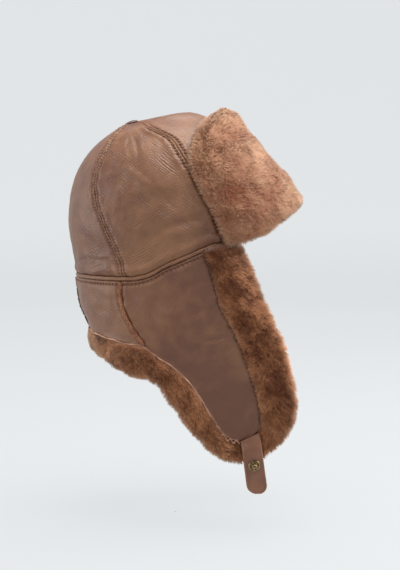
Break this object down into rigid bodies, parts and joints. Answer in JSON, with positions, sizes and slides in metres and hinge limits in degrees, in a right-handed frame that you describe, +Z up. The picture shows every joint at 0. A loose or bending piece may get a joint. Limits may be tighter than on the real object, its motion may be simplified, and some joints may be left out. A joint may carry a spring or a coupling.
{
  "type": "leather flying helmet with fur ear flaps",
  "caption": "Brown sheepskin flying helmet: panelled leather crown, turned-up fur brow flap, long fur-edged ear flaps with open snap straps.",
  "frame": {"origin": "middle of the crown's lower edge on the plane of symmetry, where the head's widest level sits", "axes": "+Z up, -Y the way the wearer faces, -X the wearer's right"},
  "size_m": [0.191, 0.2545, 0.406],
  "materials": {
    "sheepskin_leather": "soft satin nappa with fine creases",
    "trim_fur": "short dense reddish brown fur",
    "brow_fur": "short dense golden tan fur",
    "raw_welt": "raw fuzzy sheepskin edge",
    "strap_leather": "smooth dark leather",
    "snap_brass": "aged, half dull"
  },
  "bodies": {
    "root": {"crown_panel_front": "sheepskin_leather", "crown_panel_right": "sheepskin_leather", "crown_panel_left": "sheepskin_leather", "crown_panel_back": "sheepskin_leather", "seam_strip": "sheepskin_leather", "neck_panel_right": "sheepskin_leather", "neck_panel_left": "sheepskin_leather", "ear_panel_right": "sheepskin_leather", "ear_panel_left": "sheepskin_leather", "ear_trim_right": "trim_fur", "ear_trim_left": "trim_fur", "nape_trim": "trim_fur", "brow_flap": "brow_fur", "neck_seam_welt_right": "raw_welt", "neck_seam_welt_left": "raw_welt", "back_seam_welt": "raw_welt", "strap_right": "strap_leather", "strap_left": "strap_leather", "crown_button": "strap_leather", "snap_stud_right": "snap_brass", "snap_cap_left": "snap_brass"}
  },
  "joints": []
}
